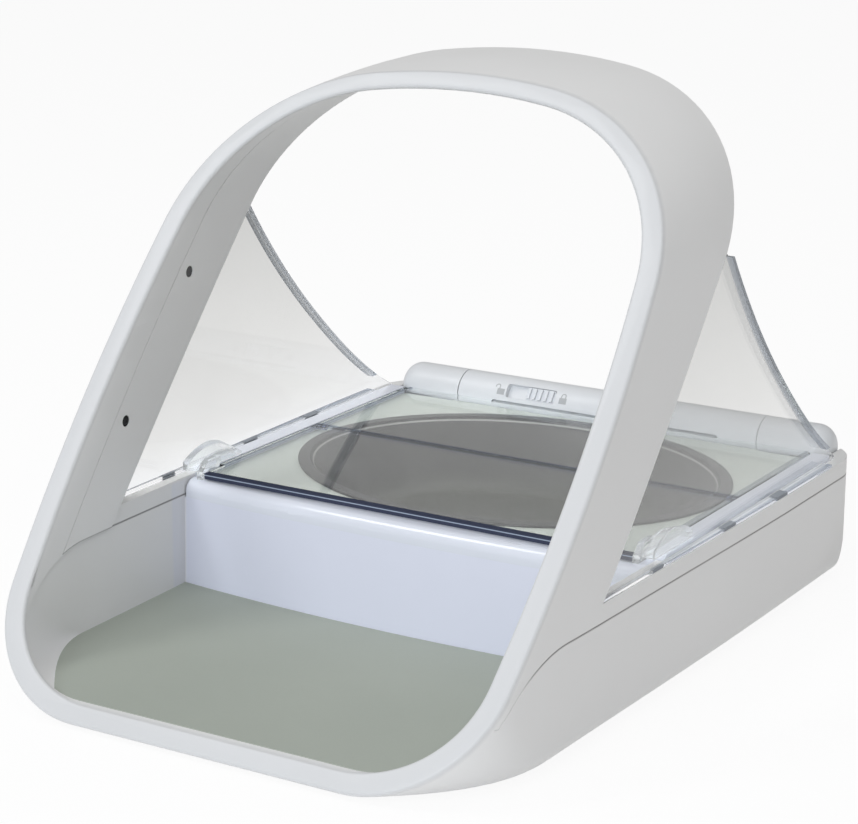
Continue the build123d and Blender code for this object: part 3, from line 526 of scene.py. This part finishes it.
# %% [markdown]
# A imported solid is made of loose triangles, so a curved skin shows facets, and every edge is razor
# sharp. A dressed copy has its corners merged, smooth shading with hard edges kept where the solid
# really turns, and a small bevel there, as a moulding has. The flush joint behind the front ring
# stays sharp, so that it closes without a groove. The copy stands for the solid.

# %% Dress the visible solids
MERGE_NEAR = 0.004 * MM
JOINT_NEAR = 0.05 * MM
FLAT_TURN = math.radians(0.4)
HARD_TURN = math.radians(34.0)
EDGE_SEGMENTS = 2


def at_joint(corner):
    """Whether a corner lies on the leaning face where the front ring meets the casings."""
    return abs(corner.co.y - FRONT_Y - RING_PLATE - corner.co.z * LEAN_SLOPE) < JOINT_NEAR


def dressed(node, edge_mm):
    piece = nodes[node].copy()
    piece.data = nodes[node].data.copy()
    piece.name = node + "_dressed"
    piece.parent = None
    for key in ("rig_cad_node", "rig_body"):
        if key in piece:
            del piece[key]
    scene.collection.objects.link(piece)
    shape = bmesh.new()
    shape.from_mesh(piece.data)
    bmesh.ops.remove_doubles(shape, verts=shape.verts, dist=MERGE_NEAR)
    bmesh.ops.dissolve_limit(shape, angle_limit=FLAT_TURN, verts=shape.verts, edges=shape.edges)
    for face in shape.faces:
        face.smooth = True
    weights = shape.edges.layers.float.new("bevel_weight_edge")
    for edge in shape.edges:
        paired = len(edge.link_faces) == 2
        edge.smooth = paired and edge.calc_face_angle(0) < HARD_TURN
        edge[weights] = float(paired and not edge.smooth and not all(at_joint(corner) for corner in edge.verts))
    shape.to_mesh(piece.data)
    shape.free()
    if edge_mm:
        soft = piece.modifiers.new("soft edges", "BEVEL")
        soft.width = edge_mm * MM
        soft.segments = EDGE_SEGMENTS
        soft.limit_method = "WEIGHT"
        soft.use_clamp_overlap = True
        soft.harden_normals = True
    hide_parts(node)
    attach(piece, bodies[node])


EDGES = {
    "lower_casing": 0.3, "upper_casing": 0.3, "hoop_front_ring": 0.0, "hoop_liner": 0.2, "floor_mat": 0.4,
    "rail_frame": 0.35, "bowl_deck": 0.0, "bowl": 0.0, "right_shield": 0.25, "left_shield": 0.25,
    "drive_drum": 0.3, "lock_slider": 0.25, "right_bar_end": 0.3, "left_bar_end": 0.3,
    "lid_rear_panel": 0.3, "lid_front_panel": 0.3, "right_lid_shoe": 0.25, "left_lid_shoe": 0.25,
    "pet_button": 0.2, "lid_button": 0.2, "delay_switch": 0.2, "right_battery_door": 0.25,
    "left_battery_door": 0.25, "rubber_feet": 0.0,
}
for node, edge_mm in EDGES.items():
    dressed(node, edge_mm)
print("dressed", len(EDGES))

# %% [markdown]
# Two small padlock signs are printed on the bar beside the lock slider: an open one on the left and a
# closed one on the right. Each is drawn flat, from a body, a half ring and its legs, and then
# wrapped on the bar's curved skin and left a hair proud of it.

# %% Padlock signs on the bar
AXIS_Y = 148.6 * MM
AXIS_Z = 52.8 * MM
BAR_R = 10.2 * MM
LOCK_ANGLE = math.radians(37)
INK = 0.06 * MM
SIGN_MERGE = 0.001 * MM
LOCK_WIDE = 3.6 * MM
LOCK_HIGH = 2.7 * MM
LOCK_Y = -1.2 * MM
SHACKLE_Y = 1.1 * MM
SHACKLE_IN = 0.75 * MM
SHACKLE_OUT = 1.25 * MM
LEG_X = 1.0 * MM
LEG_WIDE = 0.5 * MM
LEG_HIGH, LEG_Y = 1.2 * MM, 0.6 * MM
FREE_LEG_HIGH, FREE_LEG_Y = 0.5 * MM, 0.9 * MM
OPEN_SWING = -1.9 * MM


def wrap_on_bar(shape, x):
    """Drawing plane to the bar: first axis along the bar, second round it, third outwards."""
    for corner in shape.verts:
        turn = LOCK_ANGLE + corner.co.y / BAR_R
        reach = BAR_R + corner.co.z
        corner.co = (x + corner.co.x, AXIS_Y - math.cos(turn) * reach, AXIS_Z + math.sin(turn) * reach)


def slab(shape, width, height, x, y):
    """Flat patch, cut into strips so that it can bend."""
    place = Matrix.Translation((x, y, INK)) @ Matrix.Diagonal((width / 2, height / 2, 1, 1))
    bmesh.ops.create_grid(shape, x_segments=2, y_segments=6, size=1.0, matrix=place)


def half_ring(shape, x, y, inner, outer):
    """Upper half of a flat ring, swept from one short line."""
    ends = [shape.verts.new((x + radius, y, INK)) for radius in (inner, outer)]
    line = shape.edges.new(ends)
    bmesh.ops.spin(
        shape, geom=[line, *ends], cent=(x, y, 0), axis=(0, 0, 1), angle=math.pi, steps=12, use_duplicate=False
    )


def padlock(name, x, swing):
    """Swing moves the shackle off to one side, as on an open lock, and shortens its free leg."""
    far_high, far_y = (FREE_LEG_HIGH, FREE_LEG_Y) if swing else (LEG_HIGH, LEG_Y)
    shape = bmesh.new()
    slab(shape, LOCK_WIDE, LOCK_HIGH, 0, LOCK_Y)
    half_ring(shape, swing, SHACKLE_Y, SHACKLE_IN, SHACKLE_OUT)
    slab(shape, LEG_WIDE, LEG_HIGH, swing + LEG_X, LEG_Y)
    slab(shape, LEG_WIDE, far_high, swing - LEG_X, far_y)
    wrap_on_bar(shape, x)
    bmesh.ops.remove_doubles(shape, verts=shape.verts, dist=SIGN_MERGE)
    bmesh.ops.recalc_face_normals(shape, faces=shape.faces)
    mesh = bpy.data.meshes.new(name)
    shape.to_mesh(mesh)
    shape.free()
    sign = bpy.data.objects.new(name, mesh)
    mesh.materials.append(sign_grey)
    scene.collection.objects.link(sign)
    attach(sign, "lid_drive")


padlock("padlock_open", -50.6 * MM, OPEN_SWING)
padlock("padlock_closed", -19.6 * MM, 0.0)
print("signs ready")

# %% [markdown]
# The object stands on a pale floor. It shows almost plain white to the camera and to mirror and glass
# rays, and the small rest of its own colour keeps the object's shadow.

# %% Floor
FLOOR_HALF = 30.0
FLOOR_GLOW = 0.92


def floor_finish():
    coat = Coat("floor", Base_Color=(0.93, 0.93, 0.93, 1), Roughness=0.9)
    glow = coat.make("ShaderNodeEmission", {}, {"Color": (1, 1, 1, 1), "Strength": 1.0})
    seen = coat.ray("Is Camera Ray").most(coat.ray("Is Glossy Ray")).most(coat.ray("Is Transmission Ray"))
    coat.show(coat.mixed(seen * FLOOR_GLOW, Val(coat, coat.shader.outputs[0]), glow))
    return coat.material


ground = bmesh.new()
bmesh.ops.create_grid(ground, x_segments=1, y_segments=1, size=FLOOR_HALF)
floor_mesh = bpy.data.meshes.new("floor")
ground.to_mesh(floor_mesh)
ground.free()
floor = bpy.data.objects.new("floor", floor_mesh)
floor_mesh.materials.append(floor_finish())
scene.collection.objects.link(floor)
print("floor ready")

# %% [markdown]
# One broad lamp stands in front of the object and a soft one above it. A weak low one stands at the
# right, and a small one high on the left puts a bright line on the roll under the lid. The room all
# round is dim as a light and in reflections. It is white to the camera and through clear plastic.

# %% Lamps and room
CENTRE = (0.0, 0.0, 0.09)
ROOM_LIGHT = 0.38


def soft_lamp(name, place, target, size, watts, colour):
    data = bpy.data.lights.new(name, "AREA")
    data.shape = "DISK"
    data.size = size
    data.energy = watts
    data.color = colour
    lamp = bpy.data.objects.new(name, data)
    lamp.location = place
    lamp.rotation_euler = (Vector(target) - Vector(place)).to_track_quat("-Z", "Y").to_euler()
    scene.collection.objects.link(lamp)


soft_lamp("front lamp", (0.1, -1.9, 0.9), CENTRE, 1.2, 21.0, (0.90, 0.945, 1.0))
soft_lamp("top lamp", (0.2, 0.1, 1.9), CENTRE, 1.4, 6.5, (1.0, 0.99, 0.96))
soft_lamp("side lamp", (1.7, -0.5, 0.12), (0.1, 0.0, 0.02), 0.6, 2.0, (1.0, 0.99, 0.98))
soft_lamp("high lamp", (-0.80, -0.56, 1.45), CENTRE, 0.5, 5.0, (1.0, 1.0, 1.0))
room = bpy.data.worlds.new("room")
room.use_nodes = True
tree = room.node_tree
sky = tree.nodes["Background"]
sky.inputs["Color"].default_value = (1, 1, 1, 1)
path = tree.nodes.new("ShaderNodeLightPath")
seen = tree.nodes.new("ShaderNodeMath")
seen.operation = "MAXIMUM"
tree.links.new(path.outputs["Is Camera Ray"], seen.inputs[0])
tree.links.new(path.outputs["Is Transmission Ray"], seen.inputs[1])
strength = tree.nodes.new("ShaderNodeMath")
strength.operation = "MULTIPLY_ADD"
tree.links.new(seen.outputs[0], strength.inputs[0])
strength.inputs[1].default_value = 1.0 - ROOM_LIGHT
strength.inputs[2].default_value = ROOM_LIGHT
tree.links.new(strength.outputs[0], sky.inputs["Strength"])
scene.world = room
scene.view_settings.view_transform = "Standard"
print("lamps and room ready")

# %% [markdown]
# The camera stands where the photograph was taken from: in front, to the right and a little above,
# with a long lens that keeps the hoop's sides almost parallel.

# %% Camera
CAMERA_PLACE = Vector((0.49627, -0.82508, 0.35642))
CAMERA_RIGHT = Vector((0.8548, 0.5189, 0.0050))
CAMERA_UP = Vector((-0.1431, 0.2264, 0.9635))
LENS_MM = 109.0
SENSOR_MM = 36.0
eye = bpy.data.cameras.new("camera")
eye.lens = LENS_MM
eye.sensor_width = SENSOR_MM
camera = bpy.data.objects.new("camera", eye)
back = CAMERA_RIGHT.cross(CAMERA_UP).normalized()
up = back.cross(CAMERA_RIGHT).normalized()
side = up.cross(back).normalized()
turned = Matrix((side, up, back)).transposed().to_4x4()
camera.matrix_world = Matrix.Translation(CAMERA_PLACE) @ turned
scene.collection.objects.link(camera)
scene.camera = camera
print("camera", [round(v, 3) for v in CAMERA_PLACE])
